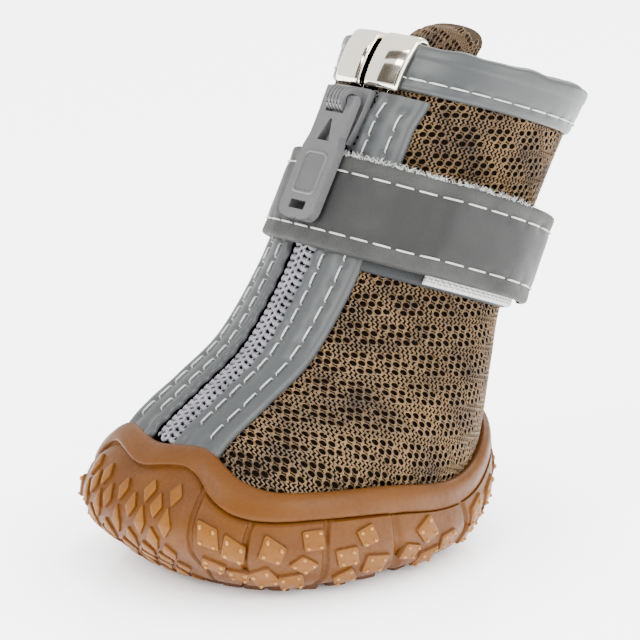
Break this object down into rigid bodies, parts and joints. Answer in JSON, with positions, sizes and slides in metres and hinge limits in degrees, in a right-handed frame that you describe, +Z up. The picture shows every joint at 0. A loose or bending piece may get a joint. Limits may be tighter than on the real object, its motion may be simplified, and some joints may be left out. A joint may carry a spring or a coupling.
{
  "type": "dog boot",
  "caption": "Dog boot with a rubber cup sole, a hollow mesh upper, a zip with a hinged pull tab, a bound collar with metal clips and a wrap strap.",
  "frame": {"origin": "middle of the tread, on the plane that the boot stands on", "axes": "+Z up; the toe points to -Y; +X is the side to which the strap's free end is wrapped"},
  "size_m": [0.0688, 0.1108, 0.1017],
  "materials": {
    "gum_rubber": "moulded gum rubber, satin",
    "insole_foam": "cloth-faced foam",
    "mesh": "open sandwich mesh, tan yarn over dark brown",
    "grey_leather": "smooth satin synthetic leather",
    "grey_cloth": "grey reflective cloth",
    "zip_cloth": "light grey braided coil and tape",
    "zip_metal": "dark grey enamel, satin",
    "nickel": "polished nickel plate",
    "loop_white": "white loop tape",
    "hook_grey": "grey hook tape"
  },
  "bodies": {
    "boot": {"outsole": "gum_rubber", "insole": "insole_foam", "upper": "mesh", "tongue": "mesh", "placket_left": "grey_leather", "placket_right": "grey_leather", "zip_tape_left": "zip_cloth", "zip_tape_right": "zip_cloth", "zip_coil_left": "zip_cloth", "zip_coil_right": "zip_cloth", "zip_slider": "zip_metal", "collar_binding": "grey_leather", "clip_left": "nickel", "clip_right": "nickel", "strap": "grey_cloth", "strap_base": "grey_cloth", "loop_tape": "loop_white", "hook_tape": "hook_grey"},
    "pull": {"pull_tab": "zip_metal"}
  },
  "joints": [
    {"name": "pull_swing", "type": "hinge", "parent": "boot", "child": "pull", "pos_m": [0, 0.01476, 0.08751], "axis": [-1, 0, 0], "range_deg": [0, 140]}
  ]
}
